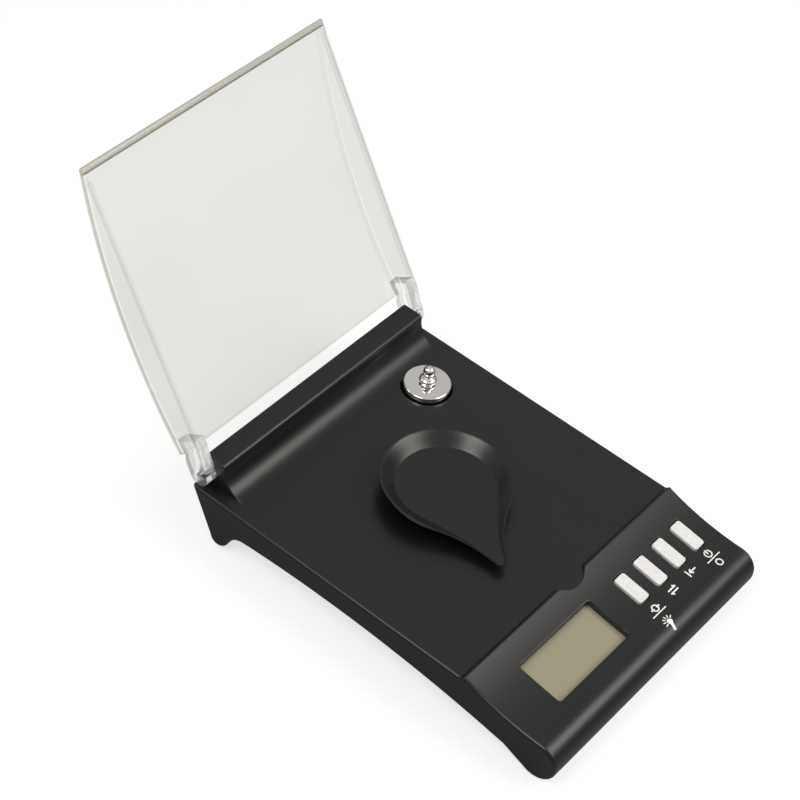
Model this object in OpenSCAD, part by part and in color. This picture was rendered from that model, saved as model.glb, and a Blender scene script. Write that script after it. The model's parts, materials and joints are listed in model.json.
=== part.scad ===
// Pocket gram scale: black case, flip-up clear cover, lift-off pouring pan and a 10 g weight.
// Frame: origin on the bench, at the middle of the footprint with the cover open; +X to the
// right, +Y to the hinge, +Z up. Sub-parts are laid out about the middle of the case.

/* [Case] */
// Width of the case
case_w = 80; // [78:0.5:82]
// Depth of the case, front nose to rear wall
case_l = 107.2; // [106.2:0.2:109.2]
// Height of the flat weighing deck above the bench
deck_z = 14.6; // [14.4:0.1:15.2]
// Depth of the control panel, nose to crest
panel_l = 26.9; // [26.5:0.1:27.3]
// Height of the panel's crest above the deck
crest_h = 1.0; // [0.8:0.1:1.2]
// Height of the hinge ridge above the deck
ridge_h = 7.7; // [7.5:0.1:8.0]
// Length of the hinge ridge, between the cover's ears
ridge_w = 72.4; // [70:0.2:72.4]
// Thickness of the case walls
wall = 1.6; // [1.4:0.1:1.7]
/* [Cover] */
// Angle the cover has swung open at rest
open_angle = 122.9; // [110:0.1:124]
// Height of the cover's crown above the deck when shut
crown_h = 9.2; // [9.1:0.1:9.6]
// Thickness of the cover
cover_t = 1.8; // [1.6:0.1:1.9]
// Radius of the two hinge pins
pin_r = 0.75; // [0.6:0.05:0.85]
/* [Pan] */
// Radius of the pan's rim
pan_r = 16.1; // [15:0.1:16.5]
// Radius of the pan's flat floor
pan_floor_r = 12; // [11:0.1:12.5]
// Height of the pan's wall above its floor, at the back
pan_h = 3; // [2.5:0.05:3.2]
// Reach of the pouring lip from the pan's centre
lip_reach = 26.8; // [25.5:0.1:27.5]
// Turn of the pouring lip away from straight ahead, to the left
lip_turn = 21.7; // [15:0.1:30]
// Distance of the pan's centre behind the case's centre
pan_y = 10.7; // [10:0.1:11]
/* [Weight] */
// Radius of the calibration weight
weight_r = 6; // [5.5:0.1:6.1]
// Height of the weight's drum
weight_h = 10; // [9.5:0.1:10.1]
/* [Controls] */
// Width of the display window
window_w = 26.4; // [24:0.2:26.8]
// Depth of the display window
window_d = 12; // [11:0.2:12.2]
// Width of a button cap
button_w = 3.7; // [3.4:0.1:3.9]
// Length of a button cap
button_d = 8.2; // [7.6:0.1:8.4]
// Distance between neighbouring buttons
button_pitch = 7.55; // [7.2:0.05:7.6]
// Travel of a button
button_travel = 0.4; // [0.3:0.05:0.4]
/* [Hidden] */
$fn = 64;

BLACK = "#35343a";
STEEL = "silver";

// ---- case outline, side view in (y, z) ----
front_y = -case_l / 2;
rear_y = case_l / 2;
crest_y = front_y + panel_l;
nose_r = 4.9;
nose_y = front_y + nose_r;
nose_z = 6.6;
heel_r = 5.3;
heel_z = 5.8;
step_run = 1.4;
// The panel is a hollow arc that is level at the nose and ends on the crest.
crest_z = deck_z + crest_h;
panel_rise = crest_z - nose_z - nose_r;
panel_run = crest_y - nose_y;
panel_r = (pow(panel_run, 2) + pow(panel_rise, 2)) / (2 * panel_rise);
panel_cz = nose_z + nose_r + panel_r;
panel_turn = asin(panel_run / panel_r);
// The step from the deck to the crest is a hollow fillet.
step_r = (pow(step_run, 2) + pow(crest_h, 2)) / (2 * crest_h);
step_y = crest_y + step_run;
step_turn = asin(step_run / step_r);
// The sides are arched between the two heels.
arch_r = 296;
arch_y = 11.6;
arch_z = 8.15;
arch_cz = arch_z - arch_r;
// The rear heel stands behind a small hollow.
hollow_y = 36.8;
hollow_z = 2;
hollow_r = 5;
rear_heel_y = 44.8;
rear_heel_z = 3.1;
rear_heel_r = 2.6;
// The ridge carries the hinge; its front is a hollow fillet down to the deck.
ridge_z = deck_z + ridge_h;
ridge_y = rear_y - 6.15;
ridge_fillet = 6.4;
ridge_round = 1.2;

// ---- hinge and cover, shut, in (y, z) ----
hinge_y = rear_y - 1.5;
hinge_z = deck_z + 4;
ear_r = 2.7;
cover_gap = 0.25;
cover_z = deck_z + cover_gap;
cover_r = 161.6;
cover_cy = hinge_y - 28.3;
cover_cz = cover_z + crown_h - cover_gap - cover_r;
cover_front = crest_y + 0.5;
cover_rear = ridge_y - 0.85;
cover_half = case_w / 2 - 0.1;
ear_half = ridge_w / 2 + 0.3;
ear_start = 45;
// The front edge of the open cover is the rearmost point of the footprint.
tip_y = cover_front + 0.3;
tip_z = cover_cz + sqrt(pow(cover_r, 2) - pow(tip_y - cover_cy, 2));
open_reach = (hinge_y - tip_y) * cos(180 - open_angle) - (hinge_z - tip_z) * sin(180 - open_angle);
origin_y = (front_y + hinge_y + open_reach) / 2;

// ---- pan, load plate and load cell ----
sheet = 0.5;
pan_fall = 2.6;
pan_x = 0.5;
pan_floor_z = deck_z + 2.2;
pan_base_z = pan_floor_z - sheet;
plate_t = 1;
plate_r = 10;
plate_z = pan_base_z - 0.03 - plate_t;
stem_r = 2.5;
cell_w = 12;
cell_l = 45;
cell_h = 6;
cell_z = 3.7;
cell_y0 = pan_y - 23.7;
cell_y1 = cell_y0 + cell_l;
cell_mid = (cell_y0 + cell_y1) / 2;
bracket_t = 1;
bracket_pad = 0.5;
bracket_z = cell_z + cell_h + bracket_pad;

// ---- weight ----
weight_x = 24.4;
weight_y = 35.5;
weight_top = deck_z + 1.6;
pocket_gap = 0.35;

// ---- panel frame: a plane tangent to the panel behind the window ----
panel_y0 = front_y + 14.8;
panel_z0 = panel_cz - sqrt(pow(panel_r, 2) - pow(panel_y0 - nose_y, 2));
tilt = asin((panel_y0 - nose_y) / panel_r);
window_x = -14.05;
button_x = [for (i = [0:3]) 9.65 + i * button_pitch];
button_y = 1.25;
cap_top = 0.55;
slot_gap = 0.15;
glass_top = -1.2;
glass_t = 1.9;
light_t = 2;
board_top = -5.4;
board_t = 1.2;
board_half = 34.2;
board_d = 21;
board_screw_x = [-32.2, 4.6];
// The leads end behind the board's rear edge.
board_rear_y = -27;
board_rear_z = 7.4;
switch_w = 3.6;
switch_h = 1.8;

// ---- tray and battery bay ----
tray_z = 1;
tray_t = 1.4;
tray_half = case_w / 2 - wall - 0.5;
belly_half = tray_half - 3.7;
belly_rear = rear_heel_y - 1.2;
rim_z = 9.2;
cell_r = 5.15;
battery_l = 44.5;
battery_z = tray_z + 1.35 + cell_r;
battery_x = [-28.6, -18.1];
battery_y0 = -12.6;
door_x0 = -belly_half - 0.2;
door_x1 = -12.6;
door_y0 = -16;
door_y1 = 35.2;
screw_at = [[-29.5, -21.5], [29.5, -21.5], [-20, 40.6], [8, 40.6]];
foot_at = [[-29.5, -44.5], [29.5, -44.5], [-29.5, 40], [29.5, 40]];
foot_r = 3.5;

function arc(cy, cz, r, a0, a1, n) =
    [for (i = [0:n]) let (a = a0 + (a1 - a0) * i / n) [cy + r * cos(a), cz + r * sin(a)]];

// Carries a sub-part from the middle of the case to the origin of the footprint.
module placed() { translate([0, -origin_y, 0]) children(); }

// Extrudes a (y, z) outline across the case.
module across(w) { rotate([90, 0, 90]) linear_extrude(w, center = true) children(); }

// Places a child in the panel frame: y along the panel, z out of it.
module on_panel(x = 0, y = 0, z = 0) {
    translate([0, panel_y0, panel_z0]) rotate([tilt, 0, 0]) translate([x, y, z]) children();
}

module block(w, d, h) { translate([-w / 2, -d / 2, 0]) cube([w, d, h]); }

module rounded_block(w, d, h, r) {
    linear_extrude(h) rounded_plate(w, d, r);
}

module rounded_plate(w, d, r) {
    square([w - 2 * r, d], center = true);
    square([w, d - 2 * r], center = true);
    for (x = [-1, 1], y = [-1, 1]) translate([x * (w / 2 - r), y * (d / 2 - r)]) circle(r);
}

// Machine screw with its head's underside at z = 0 and its shank up.
module screw(head_r, head_h, shank_r, shank_l) {
    difference() {
        union() {
            translate([0, 0, -head_h]) cylinder(r = head_r, h = head_h);
            translate([0, 0, -0.01]) cylinder(r = shank_r, h = shank_l + 0.01);
        }
        for (a = [0, 90])
            rotate(a) translate([0, 0, -head_h - 0.01]) block(head_r * 1.2, 0.4, head_h * 0.5);
    }
}

// Top edge of the case in side view, from the crest to the nose, set in by t.
function panel_edge(t) = concat(
    arc(nose_y, panel_cz, panel_r + t, 270 + panel_turn, 270, 16),
    arc(nose_y, nose_z, nose_r - t, 95, 180, 14),
    arc(front_y + heel_r, heel_z, heel_r - t, 180, 232, 8));

module side_outline() {
    polygon(concat(
        [[rear_y, deck_z]],
        arc(step_y, deck_z + step_r, step_r, 270, 270 - step_turn, 6),
        panel_edge(0),
        arc(front_y + heel_r, heel_z, heel_r, 238, 298, 10),
        arc(arch_y, arch_cz, arch_r, 100, 85.4, 24),
        arc(hollow_y, hollow_z, hollow_r, 80, 24, 8),
        arc(rear_heel_y, rear_heel_z, rear_heel_r, 206, 350, 12)));
}

module ridge_outline() {
    polygon(concat(
        [[rear_y, deck_z - wall]],
        [[rear_y, ridge_z - 0.6], [rear_y - 0.6, ridge_z]],
        arc(ridge_y + ridge_round, ridge_z - ridge_round, ridge_round, 90, 180, 6),
        arc(ridge_y - ridge_fillet, deck_z + ridge_fillet, ridge_fillet, 360, 270, 16),
        [[ridge_y - ridge_fillet, deck_z - wall]]));
}

module cavity_outline() {
    roof = deck_z - wall;
    polygon(concat(
        [[rear_y - wall * 1.1 - 0.6, roof], [crest_y + step_run, roof]],
        panel_edge(wall),
        [[front_y + 2.7, -1], [rear_heel_y - 0.4, -1], [rear_heel_y - 0.2, 1]]));
}

module ridge_cavity_outline() {
    y0 = ridge_y + 1.4;
    polygon([[y0 - 3, deck_z - 2 * wall], [y0 - 1, deck_z + 2], [y0, ridge_z - wall],
             [hinge_y - pin_r - 1.2, ridge_z - wall], [hinge_y - pin_r - 1.2, deck_z - 2 * wall]]);
}

module boss_at(p, r, z0) { translate([p[0], p[1], z0]) cylinder(r = r, h = deck_z - wall + 0.5 - z0); }

module top_case() {
    color(BLACK) placed() difference() {
        union() {
            difference() {
                union() {
                    across(case_w) side_outline();
                    across(ridge_w) ridge_outline();
                }
                across(case_w - 2 * wall) cavity_outline();
                across(ridge_w - 14) ridge_cavity_outline();
            }
            translate([weight_x, weight_y, weight_top - weight_h - 1.2])
                cylinder(r = weight_r + 1.6, h = deck_z - wall / 2 - weight_top + weight_h + 1.2);
            for (p = screw_at) boss_at(p, 2.2, tray_z + 2.6);
            for (x = board_screw_x) on_panel(x, 8.6, board_top) cylinder(r = 1.7, h = 4.8);
        }
        translate([weight_x, weight_y, weight_top - weight_h - 0.02])
            cylinder(r = weight_r + pocket_gap, h = 20);
        translate([0, crest_y + 4, deck_z]) cylinder(r = 6.4, h = 5);
        translate([0, pan_y, 0]) cylinder(r = stem_r + 1.7, h = 20);
        on_panel(window_x, 0, -8) rounded_block(window_w, window_d, 12, 0.8);
        on_panel(window_x, 0, -4) block(window_w + 4.4, window_d + 4, 4 + glass_top);
        for (x = button_x)
            on_panel(x, button_y, -4)
                rounded_block(button_w + 2 * slot_gap, button_d + 2 * slot_gap, 8, 0.85);
        for (p = screw_at) translate([p[0], p[1], 0]) cylinder(r = 0.93, h = 11);
        for (x = board_screw_x) on_panel(x, 8.6, board_top - 1) cylinder(r = 0.63, h = 4.6);
        for (s = [-1, 1]) translate([s * (ridge_w / 2 - 2), hinge_y, hinge_z]) rotate([0, 90, 0])
            cylinder(r = pin_r + 0.01, h = 4.2, center = true);
    }
}

// Sloping belly of the tray, as the overlap of an end view and a side view.
module belly(t) {
    run = (tray_half - belly_half) / (rim_z - 0.4 - tray_z);
    lift = t > 0 ? t * 0.45 : 0;
    intersection() {
        rotate([90, 0, 0]) linear_extrude(case_l, center = true) polygon([
            [-tray_half + t, rim_z + 2], [-tray_half + t, rim_z - 0.4],
            [-belly_half + t + lift, tray_z + t], [belly_half - t - lift, tray_z + t],
            [tray_half - t, rim_z - 0.4], [tray_half - t, rim_z + 2]]);
        across(case_w) polygon([
            [front_y + 3.1 + t, rim_z - 0.8 + t], [front_y + 3.1 + t, 2.4 + t * 0.6],
            [front_y + 4.3 + t * 0.6, tray_z + t], [belly_rear - t * 0.6, tray_z + t],
            [belly_rear + 0.5 - t, tray_z + 0.4 + t], [belly_rear + 4.4 - t, rim_z + t],
            [front_y + 4 + t, rim_z + t]]);
    }
}

module bottom_case() {
    slide_x = door_x1 - door_x0;
    color(BLACK) placed() difference() {
        union() {
            difference() {
                belly(0);
                belly(tray_t);
            }
            for (p = screw_at) translate([p[0], p[1], tray_z + 0.8]) cylinder(r = 2.2, h = 1.7);
            translate([0, cell_y1 - 5.5, tray_z + 0.2]) block(cell_w, 10.6, cell_z - tray_z - 0.2);
            translate([0, cell_y0 + 4, tray_z + 0.2]) block(cell_w - 4, 3, cell_z - tray_z - 0.7);
            translate([door_x1 + 0.9, (door_y0 + door_y1) / 2, tray_z + 0.2])
                block(1.2, door_y1 - door_y0, 6.2);
            for (y = [door_y0 - 0.9, door_y1 + 0.9])
                translate([(door_x0 + door_x1) / 2 + 1, y, tray_z + 0.2]) block(slide_x - 4, 1.2, 6.2);
        }
        // Mouth of the battery bay, with a rebate that holds the door's tongues.
        translate([door_x0 - 8, door_y0, 0]) cube([slide_x + 8, door_y1 - door_y0, tray_z + tray_t + 0.02]);
        translate([door_x0 - 8, door_y0 - 0.7, tray_z + 0.65])
            cube([slide_x + 8, door_y1 - door_y0 + 1.4, tray_t - 0.6]);
        for (p = screw_at) translate([p[0], p[1], 0]) {
            cylinder(r = 1.15, h = 5);
            cylinder(r = 2, h = tray_z + 0.7);
        }
        for (y = [cell_y1 - 8, cell_y1 - 3]) translate([0, y, 0]) {
            cylinder(r = 1.6, h = 6);
            cylinder(r = 2.9, h = tray_z + 0.9);
        }
        for (p = foot_at) translate([p[0], p[1], 0]) cylinder(r = foot_r + 0.05, h = tray_z + 0.4);
    }
}

module battery_door() {
    w = door_x1 - door_x0 - 0.15;
    d = door_y1 - door_y0 - 0.3;
    color(BLACK) placed() difference() {
        union() {
            translate([door_x0, door_y0 + 0.15, tray_z]) cube([w, d, 1.25]);
            translate([door_x0, door_y0 - 0.55, tray_z + 0.75]) cube([w, d + 1.4, 0.5]);
        }
        for (i = [0:4]) translate([door_x0 + 3 + i * 1.1, (door_y0 + door_y1) / 2, tray_z - 0.01])
            block(0.5, 14, 0.35);
    }
}

// Side view of the cover, shut: a thin arched plate with a rounded front edge.
module cover_plate_outline() {
    a = function (y, r) asin((y - cover_cy) / r);
    polygon(concat(
        arc(cover_cy, cover_cz, cover_r, 90 - a(tip_y, cover_r), 90 - a(cover_rear, cover_r), 32),
        arc(cover_cy, cover_cz, cover_r - cover_t, 90 - a(cover_rear, cover_r - cover_t),
            90 - a(cover_front + 2.4, cover_r - cover_t), 32),
        [[cover_front + 2.2, cover_z], [cover_front + 0.9, cover_z]],
        arc(cover_front + 0.6, cover_z + 0.6, 0.6, 270, 180, 4)));
}

// Side view of a side wall and its ear: flat below, arched above, round at the pin.
module cover_wall_outline() {
    reach = hinge_y - ear_start;
    drop = hinge_z - cover_z;
    slant = atan2(drop, reach) - asin(ear_r / norm([reach, drop]));
    run = sqrt(pow(reach, 2) + pow(drop, 2) - pow(ear_r, 2));
    a = function (y, r) asin((y - cover_cy) / r);
    polygon(concat(
        arc(cover_cy, cover_cz, cover_r - cover_t / 2, 90 - a(cover_front + 2, cover_r),
            90 - a(hinge_y - 4, cover_r), 32),
        [[hinge_y, hinge_z + ear_r], [hinge_y + 0.6, hinge_z],
         [ear_start + run * cos(slant), cover_z + run * sin(slant)], [ear_start, cover_z],
         [cover_front + 2, cover_z]]));
    translate([hinge_y, hinge_z]) circle(ear_r);
}

module ear_pad_outline() {
    translate([hinge_y, hinge_z]) circle(ear_r);
    polygon([[hinge_y - 9.5, hinge_z - 1.4], [hinge_y - 0.8, hinge_z - ear_r + 0.1],
             [hinge_y + 0.8, hinge_z + ear_r - 0.1], [hinge_y - 9.5, hinge_z + 2.4]]);
}

// The cover is drawn shut and swung open about the hinge pins.
module cover() {
    wall_t = 1.8;
    color("#dfe3e0", 0.45) placed() translate([0, hinge_y, hinge_z]) rotate([-open_angle, 0, 0])
        translate([0, -hinge_y, -hinge_z]) difference() {
            union() {
                across(2 * cover_half) cover_plate_outline();
                for (s = [-1, 1]) {
                    translate([s * (cover_half - wall_t / 2), 0, 0]) across(wall_t) cover_wall_outline();
                    translate([s * (cover_half + ear_half) / 2, 0, 0])
                        across(cover_half - ear_half) ear_pad_outline();
                }
            }
            translate([0, hinge_y, hinge_z]) rotate([0, 90, 0])
                cylinder(r = pin_r + 0.05, h = case_w + 2, center = true);
        }
}

module hinge_pin(s) {
    color(STEEL) placed() translate([s * (ridge_w / 2 + 0.2), hinge_y, hinge_z]) rotate([0, s * 90, 0])
        translate([0, 0, -4]) cylinder(r = pin_r, h = cover_half - ridge_w / 2 + 3.4);
}

module hinge_pin_left() { hinge_pin(-1); }
module hinge_pin_right() { hinge_pin(1); }

// Half width of the teardrop with rim radius r and a lip that ends at reach, at distance u
// along the lip; the flanks are hollow arcs that touch the rim and the lip's round end.
function flank(u, r, reach, tip, hollow) =
    let (c = reach - tip, a = r + hollow, b = tip + hollow)
    let (cu = (a * a - b * b + c * c) / (2 * c), cv = sqrt(a * a - cu * cu))
    u < r * cu / a ? sqrt(max(0, r * r - u * u))
    : u < c + tip * (cu - c) / b ? cv - sqrt(hollow * hollow - pow(cu - u, 2))
    : sqrt(max(0, tip * tip - pow(u - c, 2)));
function ramp(x) = let (t = min(1, max(0, x))) t * t * (3 - 2 * t);
pan_steps = 44;
// Points along the axis of the pan, closer together at both round ends.
function pan_u(i, r, reach) = (reach - r) / 2 - (reach + r) / 2 * cos(180 * i / pan_steps);
// One ring of the pan: share is the ring's size on the floor, run and rise its place on the wall.
function pan_ring(share, run, rise, drop) =
    let (half = function (i) let (
            rim_u = pan_u(i, pan_r, lip_reach),
            rim_v = flank(rim_u, pan_r, lip_reach, 1.5, 30),
            low_u = pan_u(i, pan_floor_r, lip_reach - 0.6),
            low_v = flank(low_u, pan_floor_r, lip_reach - 0.6, 1, 60),
            rim_h = pan_h - pan_fall * ramp(rim_u / lip_reach))
        [share * (low_u + (rim_u - low_u) * run),
         share * (low_v + (rim_v - low_v) * run),
         rim_h * rise - drop])
    [for (i = [0:2 * pan_steps - 1])
        let (p = half(i <= pan_steps ? i : 2 * pan_steps - i)) [p[0], i <= pan_steps ? p[1] : -p[1], p[2]]];

module pan_shell() {
    n = 2 * pan_steps;
    wall_at = [[0, 0], [0.14, 0.06], [0.34, 0.26], [0.66, 0.62], [1, 1]];
    k_wall = len(wall_at) - 1;
    rings = concat(
        [for (share = [0.02, 0.5]) pan_ring(share, 0, 0, 0)],
        [for (k = [0:k_wall]) pan_ring(1, wall_at[k][0], wall_at[k][1], 0)],
        [for (k = [k_wall:-1:0]) pan_ring(1, wall_at[k][0], wall_at[k][1], sheet)],
        [for (share = [0.5, 0.02]) pan_ring(share, 0, 0, sheet)]);
    m = len(rings);
    polyhedron(
        points = [for (ring = rings) each ring],
        faces = concat(
            [[for (i = [0:n - 1]) i]],
            [for (k = [0:m - 2], i = [0:n - 1]) let (j = (i + 1) % n)
                [k * n + i, (k + 1) * n + i, (k + 1) * n + j]],
            [for (k = [0:m - 2], i = [0:n - 1]) let (j = (i + 1) % n)
                [k * n + i, (k + 1) * n + j, k * n + j]],
            [[for (i = [n - 1:-1:0]) (m - 1) * n + i]]));
}

module pan() {
    color("#2c2a2d") placed() translate([pan_x, pan_y, pan_floor_z]) rotate(-90 - lip_turn) pan_shell();
}

module load_plate() {
    stem_z = bracket_z + bracket_t;
    color("#c9ccd0") placed() difference() {
        union() {
            translate([0, pan_y, plate_z]) cylinder(r = plate_r, h = plate_t);
            translate([0, pan_y, stem_z]) cylinder(r = stem_r, h = plate_z + 0.1 - stem_z);
        }
        translate([0, pan_y, bracket_z]) cylinder(r = 0.83, h = 4.4);
    }
}

// Cranked bracket: a pad on the free end of the cell, and an arm held clear above it.
module load_bracket() {
    y0 = cell_y0 + 0.5;
    color(STEEL) placed() difference() {
        union() {
            translate([-cell_w / 2, y0, bracket_z]) cube([cell_w, pan_y + 6 - y0, bracket_t]);
            translate([-cell_w / 2, y0, bracket_z - bracket_pad]) cube([cell_w, 10.5, bracket_pad + 0.1]);
        }
        translate([0, pan_y, bracket_z - 1]) cylinder(r = 1.1, h = 4);
        for (y = [cell_y0 + 3, cell_y0 + 8]) translate([0, y, bracket_z - 1]) cylinder(r = 1.6, h = 4);
    }
}

module stem_screw() {
    color(STEEL) placed() translate([0, pan_y, bracket_z]) screw(2, 0.8, 0.8, 4.2);
}

module load_cell() {
    color("#b9bcc2") placed() difference() {
        translate([-cell_w / 2, cell_y0, cell_z]) cube([cell_w, cell_l, cell_h]);
        for (s = [-1, 1]) translate([0, cell_mid + s * 4.5, cell_z + cell_h / 2]) rotate([0, 90, 0])
            cylinder(r = 2.3, h = cell_w + 2, center = true);
        translate([0, cell_mid, cell_z + cell_h / 2 - 0.8]) block(cell_w + 2, 9, 1.6);
        for (y = [cell_y0 + 3, cell_y0 + 8, cell_y1 - 8, cell_y1 - 3])
            translate([0, y, cell_z - 1]) cylinder(r = 1.33, h = cell_h + 2);
        translate([0, cell_mid, cell_z + cell_h - 0.15]) block(8.2, 18.2, 1);
        translate([0, pan_y, cell_z + cell_h - 1.2]) cylinder(r = 2.4, h = 2);
    }
}

// White sealing compound over the strain gauges.
module gauge_coating() {
    color("white") placed() translate([0, cell_mid, cell_z + cell_h - 0.15]) difference() {
        rounded_block(8, 18, 0.13, 1.5);
        translate([0, pan_y - cell_mid, -1]) cylinder(r = 2.5, h = 3);
    }
}

module load_cell_screws() {
    color(STEEL) placed() for (y = [cell_y1 - 8, cell_y1 - 3])
        translate([0, y, tray_z + 0.9]) rotate(45) screw(2.6, 0.8, 1.3, 7);
}

module bracket_screws() {
    color(STEEL) placed() for (y = [cell_y0 + 3, cell_y0 + 8])
        translate([0, y, bracket_z + bracket_t]) rotate([180, 0, 0]) screw(2.3, 1, 1.3, 6);
}

// A straight round lead between two points.
module lead(from, to, r) {
    d = to - from;
    translate(from) rotate([0, acos(d[2] / norm(d)), atan2(d[1], d[0])]) cylinder(r = r, h = norm(d));
}

// Four enamelled leads run side by side from the gauges to the board.
module load_cell_wires() {
    color("firebrick") placed() for (i = [0:3])
        lead([cell_w / 2 + 0.25, cell_mid, 9 - 0.7 * i], [7.4 + 0.8 * i, board_rear_y, board_rear_z], 0.22);
}

module main_board() {
    color("darkgreen") placed() on_panel(0, 0, board_top - board_t) difference() {
        linear_extrude(board_t) polygon([
            [-board_half + 2, -board_d / 2], [board_half - 2, -board_d / 2], [board_half - 2, -3.6],
            [board_half, -3], [board_half, board_d / 2], [-board_half, board_d / 2],
            [-board_half, -3], [-board_half + 2, -3.6]]);
        for (x = board_screw_x) translate([x, 8.6, -1]) cylinder(r = 0.9, h = 4);
    }
}

module controller_chip() {
    color("#1c1c1f") placed() on_panel(-8, -1, board_top - board_t - 1.1) rounded_block(9, 9, 1.1, 0.4);
}

module converter_chip() {
    color("#1c1c1f") placed() on_panel(14, 2, board_top - board_t - 1.1) rounded_block(4, 5.4, 1.1, 0.3);
}

module crystal() {
    color(STEEL) placed() on_panel(4.6, -4, board_top - board_t - 1) rounded_block(2, 6, 1, 0.9);
}

module chip_resistors() {
    color("#3a3330") placed() for (i = [0:5])
        on_panel(20 + 2 * i, -4, board_top - board_t - 0.5) block(1, 2, 0.5);
}

module board_screws() {
    color(STEEL) placed() for (x = board_screw_x)
        on_panel(x, 8.6, board_top - board_t) screw(1.6, 0.8, 0.6, 3.8);
}

module display_glass() {
    color("#aaa087") placed() on_panel(window_x, 0, glass_top - 0.05 - glass_t)
        block(window_w + 3.8, window_d + 3.4, glass_t);
}

module display_light() {
    color("#e8f0c8") placed() on_panel(window_x, 0.8, glass_top - glass_t - 0.15 - light_t)
        block(window_w + 2, window_d, light_t);
}

module display_frame() {
    h = glass_top - glass_t - 0.15 - board_top;
    color("#d8d8d2") placed() on_panel(window_x, 0, board_top) difference() {
        block(window_w + 5.4, window_d + 4.8, h);
        translate([0, 0.8, -1]) block(window_w + 2.4, window_d + 0.4, h + 2);
        translate([0, -window_d / 2 - 0.7, -1]) block(window_w + 2.4, 1.9, h + 2);
    }
}

module display_connector() {
    color("#e58aa0") placed() on_panel(window_x, -window_d / 2 - 0.7, board_top + 0.02)
        block(window_w + 2, 1.4, glass_top - glass_t - 0.1 - board_top);
}

module switch_body(i) {
    color("#2b2b2e") placed() on_panel(button_x[i], button_y, board_top) difference() {
        rounded_block(switch_w, switch_w, switch_h, 0.4);
        translate([0, 0, switch_h - 1.3]) cylinder(r = 1.05, h = 3);
    }
}

module plunger(i) {
    color("#8c2f28") placed() on_panel(button_x[i], button_y, board_top + switch_h - 0.85)
        cylinder(r = 1, h = -2.8 - board_top - switch_h + 0.85);
}

module button_cap(i) {
    color("#dededb") placed() on_panel(button_x[i], button_y, 0) {
        translate([0, 0, -2.3]) rounded_block(button_w, button_d, cap_top + 2.3, 0.7);
        translate([0, 0, -2.3]) rounded_block(button_w + 1.4, button_d + 1.4, 0.5, 0.6);
        translate([0, 0, -2.8]) cylinder(r = 1.1, h = 0.6);
    }
}

module cal_switch() { switch_body(0); }
module unit_switch() { switch_body(1); }
module tare_switch() { switch_body(2); }
module power_switch() { switch_body(3); }
module cal_plunger() { plunger(0); }
module unit_plunger() { plunger(1); }
module tare_plunger() { plunger(2); }
module power_plunger() { plunger(3); }
module cal_button() { button_cap(0); }
module unit_button() { button_cap(1); }
module tare_button() { button_cap(2); }
module power_button() { button_cap(3); }

// The two cells lie opposite ways round; flip turns the nub to the front.
module battery(x, flip) {
    y0 = flip ? battery_y0 + battery_l : battery_y0;
    color("steelblue") placed() translate([x, y0, battery_z]) rotate([flip ? 90 : -90, 0, 0]) {
        cylinder(r = cell_r, h = battery_l - 1);
        cylinder(r = 1.9, h = battery_l);
    }
}

module battery_left() { battery(battery_x[0], false); }
module battery_right() { battery(battery_x[1], true); }

module battery_springs() {
    color(STEEL) placed() for (i = [0, 1]) {
        y = i == 0 ? battery_y0 : battery_y0 + battery_l;
        s = i == 0 ? -1 : 1;
        translate([battery_x[i], y + s * 2.7, battery_z]) rotate([90, 0, 0])
            cylinder(r = 4.2, h = 0.4, center = true);
        for (k = [0:2]) translate([battery_x[i], y + s * (0.5 + k * 0.8), battery_z]) rotate([90, 0, 0])
            rotate_extrude() translate([3.4 - k * 0.3, 0]) circle(0.32, $fn = 16);
    }
}

module battery_tabs() {
    color(STEEL) placed() for (i = [0, 1]) {
        y = i == 0 ? battery_y0 + battery_l + 0.35 : battery_y0 - 0.35;
        translate([battery_x[i], y, battery_z - 3.5]) block(7, 0.5, 7);
    }
}

module battery_leads() {
    y = battery_y0 - 1.2;
    color("red") placed() for (i = [0, 1])
        lead([battery_x[i] + 2.8, y - 1.9 + 1.6 * i, battery_z + 2.6],
             [-22 + 4 * i, board_rear_y, board_rear_z], 0.5);
}

module foot(i) {
    color("#222222") placed() translate([foot_at[i][0], foot_at[i][1], 0])
        cylinder(r = foot_r, h = tray_z + 0.4);
}

module foot_front_left() { foot(0); }
module foot_front_right() { foot(1); }
module foot_rear_left() { foot(2); }
module foot_rear_right() { foot(3); }

module case_screws() {
    color(STEEL) placed() for (p = screw_at) translate([p[0], p[1], tray_z + 0.7]) screw(1.8, 0.6, 0.9, 7);
}

// Knobbed drum: a flat bead at the foot of the knob, a thin neck and a ball.
module calibration_weight() {
    z0 = weight_top - weight_h;
    color("#cfc9c0") placed() translate([weight_x, weight_y, z0]) rotate_extrude() polygon(concat(
        [[0, 0], [weight_r - 0.4, 0], [weight_r, 0.4], [weight_r, weight_h - 0.5]],
        arc(weight_r - 0.5, weight_h - 0.5, 0.5, 0, 90, 5),
        [[1.9, weight_h]],
        arc(1.35, weight_h + 0.85, 0.85, 290, 440, 8),
        [[1, weight_h + 1.9]],
        arc(0, weight_h + 3.6, 1.5, -48, 90, 12)));
}

top_case();
bottom_case();
battery_door();
cover();
hinge_pin_left();
hinge_pin_right();
pan();
load_plate();
load_bracket();
stem_screw();
load_cell();
gauge_coating();
load_cell_screws();
bracket_screws();
load_cell_wires();
main_board();
controller_chip();
converter_chip();
crystal();
chip_resistors();
board_screws();
display_glass();
display_light();
display_frame();
display_connector();
cal_switch();
unit_switch();
tare_switch();
power_switch();
cal_plunger();
unit_plunger();
tare_plunger();
power_plunger();
cal_button();
unit_button();
tare_button();
power_button();
battery_left();
battery_right();
battery_springs();
battery_tabs();
battery_leads();
foot_front_left();
foot_front_right();
foot_rear_left();
foot_rear_right();
case_screws();
calibration_weight();
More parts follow.
